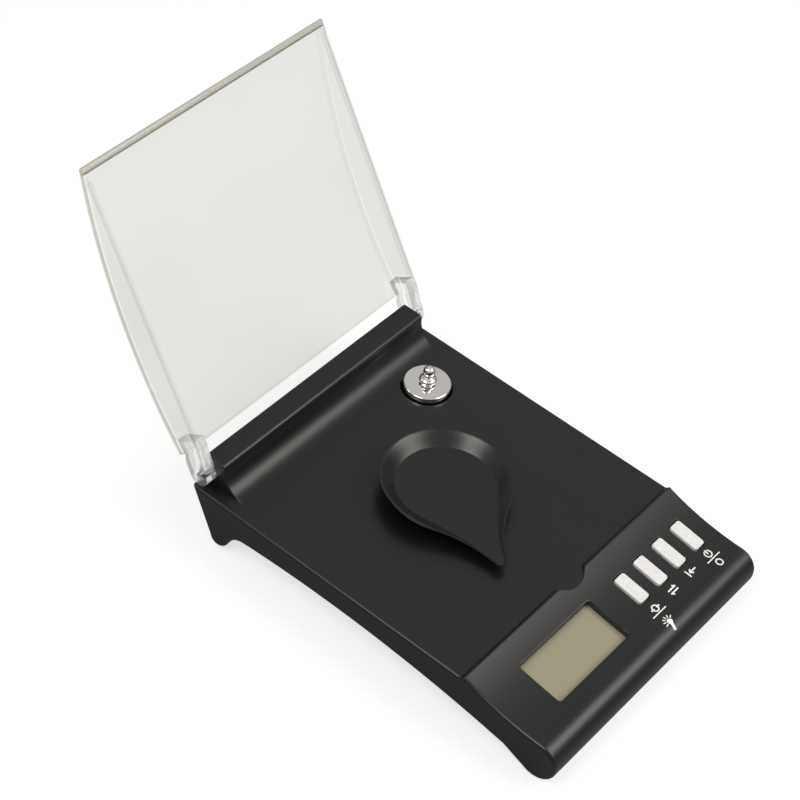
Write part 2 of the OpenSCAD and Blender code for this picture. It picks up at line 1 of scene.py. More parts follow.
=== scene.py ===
"""Looks of a pocket gram scale: black case, clear flip-up cover, pouring pan and a nickel-plated weight.

Sizes are in millimetres until a mesh is made, and are measured from the middle of the case.
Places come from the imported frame's boxes, and the shapes repeat the part's own outlines with
finer arcs, rounded edges and procedural materials.
"""

import json
import math

import bmesh
import bpy
from mathutils import Matrix, Vector


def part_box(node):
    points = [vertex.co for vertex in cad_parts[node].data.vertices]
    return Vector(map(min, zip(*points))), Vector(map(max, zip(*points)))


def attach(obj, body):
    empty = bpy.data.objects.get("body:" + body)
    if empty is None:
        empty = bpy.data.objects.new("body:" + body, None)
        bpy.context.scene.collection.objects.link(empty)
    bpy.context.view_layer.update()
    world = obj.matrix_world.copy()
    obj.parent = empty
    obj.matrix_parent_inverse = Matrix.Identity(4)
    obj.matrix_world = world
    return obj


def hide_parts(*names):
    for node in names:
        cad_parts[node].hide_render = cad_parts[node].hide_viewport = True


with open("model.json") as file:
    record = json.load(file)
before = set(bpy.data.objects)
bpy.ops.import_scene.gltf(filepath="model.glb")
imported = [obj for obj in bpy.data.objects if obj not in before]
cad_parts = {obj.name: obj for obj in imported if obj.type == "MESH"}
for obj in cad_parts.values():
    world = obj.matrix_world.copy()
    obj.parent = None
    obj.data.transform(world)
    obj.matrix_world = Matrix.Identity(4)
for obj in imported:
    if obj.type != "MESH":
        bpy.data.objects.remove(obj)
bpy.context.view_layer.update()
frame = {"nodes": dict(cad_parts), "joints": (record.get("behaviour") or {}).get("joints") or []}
MM = 0.001
MIDDLE_Y = sum(corner[1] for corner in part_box("top_case")) / 2


# ---------------------------------------------------------------- driving sizes
def box_mm(node):
    """Lowest and highest corner of a CAD node, in millimetres from the middle of the case."""
    middle = Vector((0, MIDDLE_Y, 0))
    return tuple((Vector(corner) - middle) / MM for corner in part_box(node))


def centre_of(node):
    """Middle of a CAD node's box in plan."""
    lo, hi = box_mm(node)
    return ((lo.x + hi.x) / 2, (lo.y + hi.y) / 2)


def radius_of(node):
    """Radius of an upright round CAD node."""
    lo, hi = box_mm(node)
    return (hi.x - lo.x) / 2


case_lo, case_hi = box_mm("top_case")
HALF_W = case_hi.x
FRONT_Y = case_lo.y
REAR_Y = case_hi.y
WALL = 1.6

# Heights, from the rear ridge down to the deck.
RIDGE_RISE = 7.7
RIDGE_Z = case_hi.z
DECK_Z = RIDGE_Z - RIDGE_RISE

# The round nose at the front, and the heel under it.
NOSE_R = 4.9
NOSE_Y = FRONT_Y + NOSE_R
NOSE_Z = 6.6
HEEL_R = 5.3
HEEL_Z = 5.8

# The panel is a hollow arc from the top of the nose back to its crest.
PANEL_LENGTH = 26.9
STEP_RISE = 1
CREST_Y = FRONT_Y + PANEL_LENGTH
CREST_Z = DECK_Z + STEP_RISE
PANEL_RISE = CREST_Z - NOSE_Z - NOSE_R
PANEL_RUN = CREST_Y - NOSE_Y
PANEL_R = (PANEL_RUN**2 + PANEL_RISE**2) / (2 * PANEL_RISE)
PANEL_CZ = NOSE_Z + NOSE_R + PANEL_R
PANEL_TURN = math.degrees(math.asin(PANEL_RUN / PANEL_R))

# A short hollow step leads from the crest down to the deck.
STEP_RUN = 1.4
STEP_R = (STEP_RUN**2 + STEP_RISE**2) / (2 * STEP_RISE)
STEP_TURN = math.degrees(math.asin(STEP_RUN / STEP_R))

# The panel's own frame touches the arc at the row of keys.
KEY_ROW = 14.8
PANEL_Y0 = FRONT_Y + KEY_ROW
PANEL_Z0 = PANEL_CZ - math.sqrt(PANEL_R**2 - (PANEL_Y0 - NOSE_Y) ** 2)
TILT = math.asin((PANEL_Y0 - NOSE_Y) / PANEL_R)

# Underside of the side walls: a long flat arc, a bay and the rear foot.
BELLY_R = 296
BELLY_Y = 11.6
BELLY_TOP = 8.15
BAY_R = 5
BAY_Y = 36.8
BAY_Z = 2
FOOT_R = 2.6
FOOT_Y = 44.8
FOOT_Z = 3.1

# The ridge stands across the rear, between the cover's ears.
RIDGE_HALF = 36.2
RIDGE_Y = REAR_Y - 6.15
RIDGE_FILLET = 6.4
RIDGE_FRONT_ROUND = 1.2
RIDGE_REAR_ROUND = 0.7

# The cover's hinge, from the frame's own joint.
HINGE = next(j for j in frame["joints"] if j["name"] == "cover_hinge")
HINGE_Y = (HINGE["pos_m"][1] - MIDDLE_Y) / MM
HINGE_Z = HINGE["pos_m"][2] / MM
OPEN_ANGLE = -HINGE["range_deg"][0]


# ---------------------------------------------------------------- mesh helpers
SHARP = 32
CORNER_STEPS = 6
LIP_STEPS = 5
LEAST_GAP = 0.02
LEAST_MITRE = 0.3


def arc(cy, cz, r, a0, a1, n):
    """Points on an arc, from angle a0 to a1 in degrees."""
    angles = [math.radians(a0 + (a1 - a0) * i / n) for i in range(n + 1)]
    return [(cy + r * math.cos(a), cz + r * math.sin(a)) for a in angles]


def area(points):
    """Signed area of a closed outline; positive when it runs anticlockwise."""
    pairs = zip(points, points[1:] + points[:1])
    return sum(p[0] * q[1] - q[0] * p[1] for p, q in pairs) / 2


def tidy(points):
    """The outline, anticlockwise and without doubled points."""
    kept = []
    for p in points:
        if not kept or math.dist(p, kept[-1]) > LEAST_GAP:
            kept.append(p)
    if math.dist(kept[0], kept[-1]) <= LEAST_GAP:
        kept.pop()
    return kept if area(kept) > 0 else kept[::-1]


def inset(points, d):
    """The anticlockwise outline, moved inwards by d with mitred corners."""
    out = []
    n = len(points)
    for i in range(n):
        a, b, c = (Vector(points[j % n]) for j in (i - 1, i, i + 1))
        n1 = Vector((-(b - a).y, (b - a).x)).normalized()
        n2 = Vector((-(c - b).y, (c - b).x)).normalized()
        out.append(tuple(b + (n1 + n2) * d / max(LEAST_MITRE, 1 + n1.dot(n2))))
    return out


def smooth(obj, sharp=SHARP):
    """Smooth shading that keeps edges sharper than an angle."""
    obj.data.shade_smooth()
    obj.data.set_sharp_from_angle(angle=math.radians(sharp))


def new_object(name, verts, faces, mat=None, sharp=SHARP):
    """A mesh object from millimetre vertices; edges over the sharp angle stay crisp."""
    mesh = bpy.data.meshes.new(name)
    mesh.from_pydata([Vector(v) * MM + Vector((0, MIDDLE_Y, 0)) for v in verts], [], faces)
    bm = bmesh.new()
    bm.from_mesh(mesh)
    bmesh.ops.recalc_face_normals(bm, faces=bm.faces)
    bm.to_mesh(mesh)
    bm.free()
    obj = bpy.data.objects.new(name, mesh)
    bpy.context.scene.collection.objects.link(obj)
    smooth(obj, sharp)
    if mat:
        obj.data.materials.append(mat)
    return obj


def rings_mesh(rings):
    """Vertices and faces of rings of equal length, joined in order, with flat ends."""
    n = len(rings[0])
    last = (len(rings) - 1) * n
    verts = [v for ring in rings for v in ring]
    faces = []
    for k in range(len(rings) - 1):
        for i in range(n):
            j = (i + 1) % n
            faces.append((k * n + i, k * n + j, (k + 1) * n + j, (k + 1) * n + i))
    faces.append(tuple(range(n))[::-1])
    faces.append(tuple(last + i for i in range(n)))
    return verts, faces


def across(name, outline, x0, x1, round_r, mat=None, steps=4):
    """A (y, z) outline drawn out from x0 to x1, with rounded edges round both end faces."""
    outline = tidy(outline)
    stations = []
    for k in range(steps + 1):
        a = math.pi / 2 * k / steps
        stations.append((x0 + round_r * (1 - math.cos(a)), round_r * (1 - math.sin(a))))
    if round_r == 0:
        stations = [(x0, 0)]
    ends = stations + [(x0 + x1 - x, d) for x, d in reversed(stations)]
    rings = [[(x, y, z) for y, z in (inset(outline, d) if d else outline)] for x, d in ends]
    verts, faces = rings_mesh(rings)
    return new_object(name, verts, faces, mat)


def lathe(name, profile, centre, mat=None, steps=96, sharp=SHARP):
    """A (radius, z) profile turned about a vertical axis through centre."""
    turn = [2 * math.pi * i / steps for i in range(steps)]
    rings = []
    for r, z in profile:
        rings.append([(centre[0] + r * math.cos(a), centre[1] + r * math.sin(a), z) for a in turn])
    verts, faces = rings_mesh(rings)
    return new_object(name, verts, faces, mat, sharp)


def cut(obj, cutters):
    """Takes the cutters out of the object, then removes them."""
    for cutter in cutters:
        step = obj.modifiers.new("cut", "BOOLEAN")
        step.operation = "DIFFERENCE"
        step.solver = "EXACT"
        step.object = cutter
    graph = bpy.context.evaluated_depsgraph_get()
    mesh = bpy.data.meshes.new_from_object(obj.evaluated_get(graph))
    obj.modifiers.clear()
    obj.data = mesh
    for cutter in cutters:
        bpy.data.objects.remove(cutter)
    smooth(obj)


def even_shading(obj):
    """Keeps large flat faces flat where small rounded edges meet them."""
    step = obj.modifiers.new("even_shading", "WEIGHTED_NORMAL")
    step.keep_sharp = True
    step.weight = 100


def joined(name, objs):
    """Several objects as one, under the first one's materials."""
    bm = bmesh.new()
    for obj in objs:
        bm.from_mesh(obj.data)
    mesh = bpy.data.meshes.new(name)
    bm.to_mesh(mesh)
    bm.free()
    for mat in objs[0].data.materials:
        mesh.materials.append(mat)
    for obj in objs:
        bpy.data.objects.remove(obj)
    out = bpy.data.objects.new(name, mesh)
    bpy.context.scene.collection.objects.link(out)
    smooth(out)
    return out


def panel_point(x, y, w):
    """A point of the panel's own frame, y along it and w out of it, in millimetres."""
    return (
        x,
        PANEL_Y0 + y * math.cos(TILT) - w * math.sin(TILT),
        PANEL_Z0 + y * math.sin(TILT) + w * math.cos(TILT),
    )


def panel_skin(y):
    """Height of the hollow panel above its tangent plane, at y along it."""
    return PANEL_R - math.sqrt(PANEL_R**2 - y * y)


def rounded_ring(cx, cy, w, d, r):
    """Plan outline of a rectangle with round corners."""
    ring = []
    for sx, sy, a0 in ((1, 1, 0), (-1, 1, 90), (-1, -1, 180), (1, -1, 270)):
        corner_x = cx + sx * (w / 2 - r)
        corner_y = cy + sy * (d / 2 - r)
        ring += arc(corner_x, corner_y, r, a0, a0 + 90, CORNER_STEPS)
    return ring


def panel_cutter(name, cx, cy, w, d, r, lip, depth):
    """A cutter through the panel whose mouth flares by lip, so that the hole's edge is rounded."""
    clear = 2
    top = rounded_ring(cx, cy, w + 2 * lip, d + 2 * lip, r + lip)
    rings = [[panel_point(x, y, panel_skin(y) + clear) for x, y in top]]
    for k in range(LIP_STEPS + 1):
        a = math.pi / 2 * k / LIP_STEPS
        grow = lip * (1 - math.sin(a))
        drop = lip * (1 - math.cos(a))
        ring = rounded_ring(cx, cy, w + 2 * grow, d + 2 * grow, r + grow)
        rings.append([panel_point(x, y, panel_skin(y) - drop) for x, y in ring])
    ring = rounded_ring(cx, cy, w, d, r)
    rings.append([panel_point(x, y, -depth) for x, y in ring])
    verts, faces = rings_mesh(rings)
    return new_object(name, verts, faces)


# ---------------------------------------------------------------- materials
def material(name, **sockets):
    """A Principled material; keyword names are socket names with spaces as underscores."""
    mat = bpy.data.materials.new(name)
    mat.use_nodes = True
    shader = mat.node_tree.nodes["Principled BSDF"]
    for key, value in sockets.items():
        shader.inputs[key.replace("_", " ")].default_value = value
    return mat


def noise_node(nodes, links, scale, detail):
    """Noise laid out in the object's own coordinates."""
    coords = nodes.new("ShaderNodeTexCoord")
    noise = nodes.new("ShaderNodeTexNoise")
    noise.inputs["Scale"].default_value = scale
    noise.inputs["Detail"].default_value = detail
    links.new(coords.outputs["Object"], noise.inputs["Vector"])
    return noise


def ramp_node(nodes, links, source, low, high):
    """A ramp between two colours, driven by a noise."""
    ramp = nodes.new("ShaderNodeValToRGB")
    ramp.color_ramp.elements[0].color = (*low, 1)
    ramp.color_ramp.elements[1].color = (*high, 1)
    links.new(source.outputs["Fac"], ramp.inputs["Fac"])
    return ramp


def grain(mat, scale, strength, distance, rough):
    """Fine surface texture: noise into the bump, and into the roughness between two values."""
    nodes, links = mat.node_tree.nodes, mat.node_tree.links
    shader = nodes["Principled BSDF"]
    noise = noise_node(nodes, links, scale, 3)
    bump = nodes.new("ShaderNodeBump")
    bump.inputs["Strength"].default_value = strength
    bump.inputs["Distance"].default_value = distance
    spread = nodes.new("ShaderNodeMapRange")
    spread.inputs["To Min"].default_value = rough[0]
    spread.inputs["To Max"].default_value = rough[1]
    links.new(noise.outputs["Fac"], bump.inputs["Height"])
    links.new(bump.outputs["Normal"], shader.inputs["Normal"])
    links.new(noise.outputs["Fac"], spread.inputs["Value"])
    links.new(spread.outputs["Result"], shader.inputs["Roughness"])
    return mat


def tint(mat, scale, low, high, detail=2):
    """Slow colour variation between two colours."""
    nodes, links = mat.node_tree.nodes, mat.node_tree.links
    noise = noise_node(nodes, links, scale, detail)
    ramp = ramp_node(nodes, links, noise, low, high)
    links.new(ramp.outputs["Color"], nodes["Principled BSDF"].inputs["Base Color"])


def black_plastic():
    """Satin black moulding of the case."""
    mat = material("case_black", Roughness=0.34, IOR=1.5)
    tint(mat, 60, (0.0032, 0.0031, 0.0038), (0.0046, 0.0044, 0.0052))
    return grain(mat, 2600, 0.12, 0.00002, (0.31, 0.38))


def rough_black_plastic():
    """Duller black of the pocket and the underside."""
    mat = material("case_black_inside", Roughness=0.55, IOR=1.5)
    tint(mat, 40, (0.010, 0.010, 0.010), (0.015, 0.015, 0.015))
    return grain(mat, 1500, 0.2, 0.00003, (0.5, 0.62))


def thin_clear(name, low, high, gloss_share=0.04):
    """Thin clear moulding: what is behind shows unbent and dimmed by a tint, under a gloss."""
    mat = bpy.data.materials.new(name)
    mat.use_nodes = True
    nodes, links = mat.node_tree.nodes, mat.node_tree.links
    nodes.remove(nodes["Principled BSDF"])
    through = nodes.new("ShaderNodeBsdfTransparent")
    gloss = nodes.new("ShaderNodeBsdfGlossy")
    gloss.inputs["Roughness"].default_value = 0.04
    # The gloss grows with the fifth power of how far the face turns away.
    facing = nodes.new("ShaderNodeLayerWeight")
    power = nodes.new("ShaderNodeMath")
    power.operation = "POWER"
    power.inputs[1].default_value = 5
    share = nodes.new("ShaderNodeMath")
    share.operation = "MULTIPLY_ADD"
    share.inputs[1].default_value = 0.9
    share.inputs[2].default_value = gloss_share
    cloud = noise_node(nodes, links, 30, 3)
    ramp = ramp_node(nodes, links, cloud, low, high)
    mix = nodes.new("ShaderNodeMixShader")
    links.new(ramp.outputs["Color"], through.inputs["Color"])
    links.new(facing.outputs["Facing"], power.inputs[0])
    links.new(power.outputs["Value"], share.inputs[0])
    links.new(share.outputs["Value"], mix.inputs["Fac"])
    links.new(through.outputs["BSDF"], mix.inputs[1])
    links.new(gloss.outputs["BSDF"], mix.inputs[2])
    links.new(mix.outputs["Shader"], nodes["Material Output"].inputs["Surface"])
    return mat


def thick_clear():
    """Solid clear plastic that bends what is behind it, for the cover's thick ears."""
    mat = material("clear_cover_solid", Transmission_Weight=1.0, Roughness=0.03, IOR=1.49, Alpha=0.55)
    tint(mat, 60, (0.93, 0.945, 0.95), (0.985, 0.99, 0.985))
    return grain(mat, 500, 0.12, 0.00006, (0.02, 0.06))


def pan_black():
    """Slightly glossier and warmer black of the pan."""
    mat = material("pan_black", Roughness=0.3, IOR=1.5)
    tint(mat, 50, (0.0036, 0.0033, 0.0032), (0.0052, 0.0048, 0.0045))
    return grain(mat, 3000, 0.1, 0.00002, (0.27, 0.34))


def nickel():
    """Polished nickel plate of the weight."""
    mat = material("polished_nickel", Base_Color=(0.80, 0.78, 0.745, 1), Metallic=1.0, Roughness=0.06)
    return grain(mat, 900, 0.03, 0.00001, (0.04, 0.09))


def button_white():
    """Speckled off-white rubber of the keys."""
    mat = material("button_white", Roughness=0.35, IOR=1.46, Metallic=0.0)
    tint(mat, 900, (0.58, 0.585, 0.575), (0.76, 0.765, 0.76), detail=6)
    return grain(mat, 2200, 0.35, 0.00006, (0.3, 0.5))


def display_glass():
    """Unlit display behind its glass."""
    mat = material("display_glass", Roughness=0.12, IOR=1.5)
    tint(mat, 25, (0.268, 0.246, 0.172), (0.306, 0.284, 0.202))
    return grain(mat, 1200, 0.02, 0.00001, (0.1, 0.16))


def simple(name, low, high, rough, scale=400, metallic=0.0, bump=0.1):
    """A plain finish with a little variation in colour, bump and roughness."""
    mat = material(name, Metallic=metallic)
    tint(mat, scale / 4, low, high)
    return grain(mat, scale, bump, 0.00003, rough)


def grey(value):
    """A neutral colour."""
    return (value, value, value)


# ---------------------------------------------------------------- case
BUTTON_NAMES = ("cal", "unit", "tare", "power")
# Cutters run from well under the deck to well above it.
CUT_LOW = 5
CUT_HIGH = 30
STEM_HOLE_R = 4.2
POCKET_GAP = 0.35
POCKET_RIM = 0.3
POCKET_RIM_ANGLES = (1.57, 1.2, 0.8, 0.4, 0)
POCKET_WALL = 1.6
POCKET_FLOOR = 1.1
# The finger notch in the crest: radius, and height over the crest.
NOTCH_SET_BACK = 4
NOTCH_FLARE = ((6.4, -0.35), (6.5, -0.12), (6.8, 0.06))
NOTCH_TOP_R = 7.2
WINDOW_DEEP = 12
WINDOW_BORDER = 3.8
KEY_Y = 1.25
SLOT_WIDE = 4.3
SLOT_LONG = 8.8
PANEL_CUT = 6


def crest_outline():
    """From the deck up the step, over the softened crest, and down the hollow panel."""
    step = arc(CREST_Y + STEP_RUN, DECK_Z + STEP_R, STEP_R, 270, 282 - STEP_TURN, 8)
    panel = arc(NOSE_Y, PANEL_CZ, PANEL_R, 269.55 + PANEL_TURN, 270, 28)
    start, peak, end = Vector(step[-1]), Vector((CREST_Y, CREST_Z)), Vector(panel[0])
    turn = []
    for i in range(1, 8):
        t = i / 8
        turn.append(tuple(start * (1 - t) ** 2 + peak * 2 * t * (1 - t) + end * t * t))
    return step + turn + panel


def case_outline():
    """Side view of the case, from the rear edge of the deck round to the rear wall's foot."""
    return (
        [(REAR_Y, DECK_Z)]
        + crest_outline()
        + arc(NOSE_Y, NOSE_Z, NOSE_R, 92, 180, 24)
        + arc(FRONT_Y + HEEL_R, HEEL_Z, HEEL_R, 184, 298, 28)
        + arc(BELLY_Y, BELLY_TOP - BELLY_R, BELLY_R, 100, 85.4, 40)
        + arc(BAY_Y, BAY_Z, BAY_R, 80, 24, 10)
        + arc(FOOT_Y, FOOT_Z, FOOT_R, 206, 350, 18)
    )


def cavity_outline():
    """Side view of the hollow inside the case, open at the bottom."""
    roof = DECK_Z - WALL
    return (
        [(REAR_Y - WALL * 1.1 - 0.6, roof), (CREST_Y + STEP_RUN, roof)]
        + arc(NOSE_Y, PANEL_CZ, PANEL_R + WALL, 270 + PANEL_TURN, 270, 16)
        + arc(NOSE_Y, NOSE_Z, NOSE_R - WALL, 95, 180, 14)
        + arc(FRONT_Y + HEEL_R, HEEL_Z, HEEL_R - WALL, 180, 232, 8)
        + [(FRONT_Y + 2.7, -1), (FOOT_Y - 0.4, -1), (FOOT_Y - 0.2, 1)]
    )


def ridge_outline():
    """Side view of the ridge: upright rear, round top edges and a hollow fillet down to the deck."""
    back = REAR_Y - 0.02
    rear_r, front_r = RIDGE_REAR_ROUND, RIDGE_FRONT_ROUND
    return (
        [(back, DECK_Z - WALL), (back, RIDGE_Z - rear_r)]
        + arc(back - rear_r, RIDGE_Z - rear_r, rear_r, 0, 90, 5)
        + arc(RIDGE_Y + front_r, RIDGE_Z - front_r, front_r, 90, 180, 8)
        + arc(RIDGE_Y - RIDGE_FILLET, DECK_Z + RIDGE_FILLET, RIDGE_FILLET, 360, 270, 28)
        + [(RIDGE_Y - RIDGE_FILLET, DECK_Z - WALL * 0.7)]
    )


def pocket_cutter():
    """The weight's pocket, with a rounded rim at the deck."""
    r = radius_of("calibration_weight") + POCKET_GAP
    profile = [(r, CUT_LOW)]
    for a in POCKET_RIM_ANGLES:
        profile.append((r + POCKET_RIM * (1 - math.sin(a)), DECK_Z - POCKET_RIM * (1 - math.cos(a))))
    profile.append((r + POCKET_RIM, CUT_HIGH))
    return lathe("pocket", profile, centre_of("calibration_weight"))


def notch_cutter():
    """The scoop in the crest where a finger lifts the cover."""
    profile = [(NOTCH_FLARE[0][0], DECK_Z)]
    profile += [(r, CREST_Z + height) for r, height in NOTCH_FLARE]
    profile.append((NOTCH_TOP_R, CUT_HIGH))
    return lathe("notch", profile, (0, CREST_Y + NOTCH_SET_BACK))


def window_cutter():
    """The display's opening, smaller than its glass."""
    lo, hi = box_mm("display_glass")
    cx = centre_of("display_glass")[0]
    wide = hi.x - lo.x - WINDOW_BORDER
    return panel_cutter("window", cx, 0, wide, WINDOW_DEEP, 0.8, 0.35, PANEL_CUT)


def make_case():
    """The top case: body and ridge, hollowed out and opened for what passes through it."""
    black = black_plastic()
    body = across("case_body", case_outline(), -HALF_W, HALF_W, 0.85, black, steps=6)
    cavity = across("cavity", cavity_outline(), -HALF_W + WALL, HALF_W - WALL, 0)
    stem_hole = [(STEM_HOLE_R, CUT_LOW), (STEM_HOLE_R, CUT_HIGH)]
    hole = lathe("hole", stem_hole, centre_of("load_plate"), steps=64)
    cutters = [cavity, hole, pocket_cutter(), notch_cutter(), window_cutter()]
    for name in BUTTON_NAMES:
        key_x = centre_of(name + "_button")[0]
        cutters.append(panel_cutter("slot", key_x, KEY_Y, SLOT_WIDE, SLOT_LONG, 0.95, 0.2, PANEL_CUT))
    cut(body, cutters)
    ridge = across("ridge", ridge_outline(), -RIDGE_HALF, RIDGE_HALF, 0.35, black)
    case = joined("case_shell", [body, ridge])
    even_shading(case)
    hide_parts("top_case")
    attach(case, "case")


def make_pocket_tube():
    """The moulded cup under the deck that holds the weight."""
    r = radius_of("calibration_weight")
    floor = box_mm("calibration_weight")[0].z - 0.02
    profile = [
        (0.01, floor),
        (r + POCKET_GAP, floor),
        (r + POCKET_GAP + 0.01, DECK_Z - 0.4),
        (r + POCKET_WALL, DECK_Z - 0.6),
        (r + POCKET_WALL, floor - POCKET_FLOOR),
        (0.01, floor - POCKET_FLOOR),
    ]
    cup = lathe("weight_pocket", profile, centre_of("calibration_weight"), rough_black_plastic())
    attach(cup, "case")


# ---------------------------------------------------------------- cover
COVER_HALF = HALF_W - 0.1
COVER_Z = DECK_Z + 0.25
COVER_T = 1.8
COVER_WALL = 1.8
# The plate's arch, and where it starts and ends when shut.
COVER_R = 161.6
COVER_CY = HINGE_Y - 28.3
COVER_CZ = DECK_Z + 9.2 - COVER_R
COVER_FRONT = CREST_Y + 0.5
COVER_REAR = RIDGE_Y - 0.85
# The ears stand beside the ridge and end round the hinge pins; their bottoms rise from the bend on.
EAR_HALF = RIDGE_HALF + 0.3
EAR_R = 2.7
EAR_FROM = HINGE_Y - 9.5
EAR_BEND = 45
# The front band's depth and blunt lower corner.
FRONT_BAND = 1.7
BAND_ROUND = 0.6
# Narrow rims, tinted darker than the sheets beside them as painted shade.
RIM_WIDE = 0.35
RIM_DEEP = 0.95
EDGE_DEEP = 0.45
EDGE_WIDE = 0.7
EDGE_FROM = COVER_FRONT + 2.3
WALL_FROM = COVER_FRONT + 4.2
PLATE_FOOT = COVER_FRONT + 2.76
# Neighbouring pieces keep this far apart, so that no two faces lie in one place.
SEAM = 0.02


def arch(depth, y0, y1, n=28):
    """Points along the shut cover's arch, at a depth under its outer face, from y0 to y1."""
    r = COVER_R - depth
    ys = [y0 + (y1 - y0) * i / n for i in range(n + 1)]
    return [(y, COVER_CZ + math.sqrt(r * r - (y - COVER_CY) ** 2)) for y in ys]


def opened(obj):
    """Swings a piece of the shut cover up to the rest pose, and hangs it on the cover."""
    hinge = Matrix.Translation((0, HINGE_Y * MM + MIDDLE_Y, HINGE_Z * MM))
    swing = Matrix.Rotation(math.radians(-OPEN_ANGLE), 4, "X")
    obj.data.transform(hinge @ swing @ hinge.inverted())
    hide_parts("cover")
    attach(obj, "cover")


def dress_ends(obj, near, far):
    """Gives the two end faces of a piece drawn across their own materials, the last faces made."""
    for mat in (near, far):
        obj.data.materials.append(mat)
    faces = obj.data.polygons
    faces[len(faces) - 2].material_index = 1
    faces[len(faces) - 1].material_index = 2


def ear_outline():
    """Side view of an ear: from the wall's end, along the bottom and round the pin, and back."""
    reach = HINGE_Y - EAR_BEND
    drop = HINGE_Z - COVER_Z
    slant = math.atan2(drop, reach) - math.asin(EAR_R / math.hypot(reach, drop))
    low = math.degrees(slant) - 90
    return (
        [(EAR_FROM, COVER_Z), (EAR_BEND, COVER_Z)]
        + arc(HINGE_Y, HINGE_Z, EAR_R, low, 90, 24)
        + [(COVER_REAR + 1.6, HINGE_Z + 2.5)]
        + arch(COVER_T + SEAM, COVER_REAR, EAR_FROM, 6)
    )


def plate_outline(seam_y):
    """Side view of the arched plate, from its seam with the front band to its rear edge."""
    outer = arch(0, seam_y, COVER_REAR)
    inner = arch(COVER_T, COVER_REAR, PLATE_FOOT)
    return outer + inner + [(seam_y, COVER_Z)]


def band_outline(seam_y):
    """Side view of the band along the cover's front edge, whose darker tint is painted shade."""
    front_arc = arc(COVER_FRONT + BAND_ROUND, COVER_Z + BAND_ROUND, BAND_ROUND, 270, 180, 5)
    foot = [(seam_y, COVER_Z), (COVER_FRONT + 0.9, COVER_Z)]
    return arch(0, COVER_FRONT + 0.33, seam_y, 4) + foot + front_arc


def wall_outlines(seam_y):
    """Side views of a side wall's pieces: rim, wall under the rim, full wall, and lower edge."""
    ear_y = EAR_FROM - SEAM
    foot_z = COVER_Z + EDGE_DEEP + SEAM
    foot = [(ear_y, foot_z), (WALL_FROM, foot_z)]
    rim = arch(0, seam_y, COVER_REAR) + arch(RIM_DEEP, COVER_REAR, seam_y)
    low_wall = arch(RIM_DEEP + SEAM, WALL_FROM, ear_y) + foot
    full_wall = (
        arch(0, seam_y, COVER_REAR)
        + arch(COVER_T, COVER_REAR, ear_y, 4)
        + foot
        + [(EDGE_FROM, COVER_Z), (seam_y, COVER_Z)]
    )
    edge = [
        (EDGE_FROM, COVER_Z),
        (ear_y, COVER_Z),
        (ear_y, COVER_Z + EDGE_DEEP),
        (WALL_FROM, COVER_Z + EDGE_DEEP),
    ]
    return rim, low_wall, full_wall, edge


def make_cover():
    """The cover is drawn shut: arched plate, front band, two side walls, rims and ears; band and rims are
    tinted darker as painted shade, the walls' lower edges lighter as a painted highlight.
    """
    sheet = thin_clear("clear_cover", (0.896, 0.899, 0.884), (0.918, 0.921, 0.911))
    bare_sheet = thin_clear("clear_cover_bare", (0.985, 0.985, 0.982), (1.0, 1.0, 0.998), 0.01)
    # The right wall's outer face gets a darker tint: painted shade.
    shaded_side_sheet = thin_clear("clear_cover_side_painted_shade", (0.785, 0.79, 0.775), (0.81, 0.815, 0.803))
    # The front band gets a darker, warmer tint: painted shade of the cover's front edge.
    shaded_band_sheet = thin_clear("clear_cover_band_painted_shade", (0.715, 0.707, 0.667), (0.745, 0.737, 0.697))
    # The rims get a darker tint: painted shade along the cover's edges.
    shaded_rim_sheet = thin_clear("clear_cover_rim_painted_shade", (0.82, 0.81, 0.785), (0.87, 0.86, 0.84))
    # The walls' lower edges get a lighter tint: a painted highlight.
    highlight_edge_sheet = thin_clear("clear_cover_edge_painted_highlight", (0.95, 0.947, 0.938), (0.98, 0.977, 0.968))
    solid = thick_clear()
    band_y = COVER_FRONT + FRONT_BAND
    seam_y = band_y + SEAM
    outer, inner = COVER_HALF, COVER_HALF - COVER_WALL
    rim, low_wall, full_wall, edge = wall_outlines(seam_y)
    ear = ear_outline()

    plate_left = -outer + RIM_WIDE + SEAM
    plate = across("cover_plate", plate_outline(seam_y), plate_left, inner - SEAM, 0.1, sheet)
    dress_ends(plate, bare_sheet, bare_sheet)
    opened(plate)
    parts = (
        ("front_band_painted_shade", band_outline(band_y), -outer, outer, 0.2, shaded_band_sheet),
        ("rim_left_painted_shade", rim, -outer, -outer + RIM_WIDE, 0.1, shaded_rim_sheet),
        ("wall_left", low_wall, -outer, -inner, 0.12, bare_sheet),
        ("edge_left_painted_highlight", edge, -outer, -outer + EDGE_WIDE, 0.08, highlight_edge_sheet),
        ("ear_left", ear, -outer, -EAR_HALF, 0.45, solid),
        ("edge_right_painted_highlight", edge, outer - EDGE_WIDE, outer, 0.08, highlight_edge_sheet),
        ("ear_right", ear, EAR_HALF, outer, 0.45, solid),
    )
    for part, outline, x0, x1, round_r, mat in parts:
        opened(across("cover_" + part, outline, x0, x1, round_r, mat))
    far_wall = across("cover_wall_right", full_wall, inner, outer, 0.12, sheet)
    # The far end face carries the darker tint of painted shade.
    dress_ends(far_wall, bare_sheet, shaded_side_sheet)
    opened(far_wall)


# ---------------------------------------------------------------- pan
PAN_R = 16.1
PAN_FLOOR_R = 12.0
PAN_X = 0.5
PAN_H = 3.0
PAN_FALL = 2.6
SHEET = 0.5
PAN_STEPS = 96
# The pouring lip: its reach from the pan's middle, its turn to the left, its tip and its hollow flanks.
LIP_REACH = 26.8
LIP_TURN = 21.7
LIP_TIP_R = 1.5
LIP_HOLLOW = 30
FLOOR_REACH = LIP_REACH - 0.6
FLOOR_TIP_R = 1
FLOOR_HOLLOW = 60
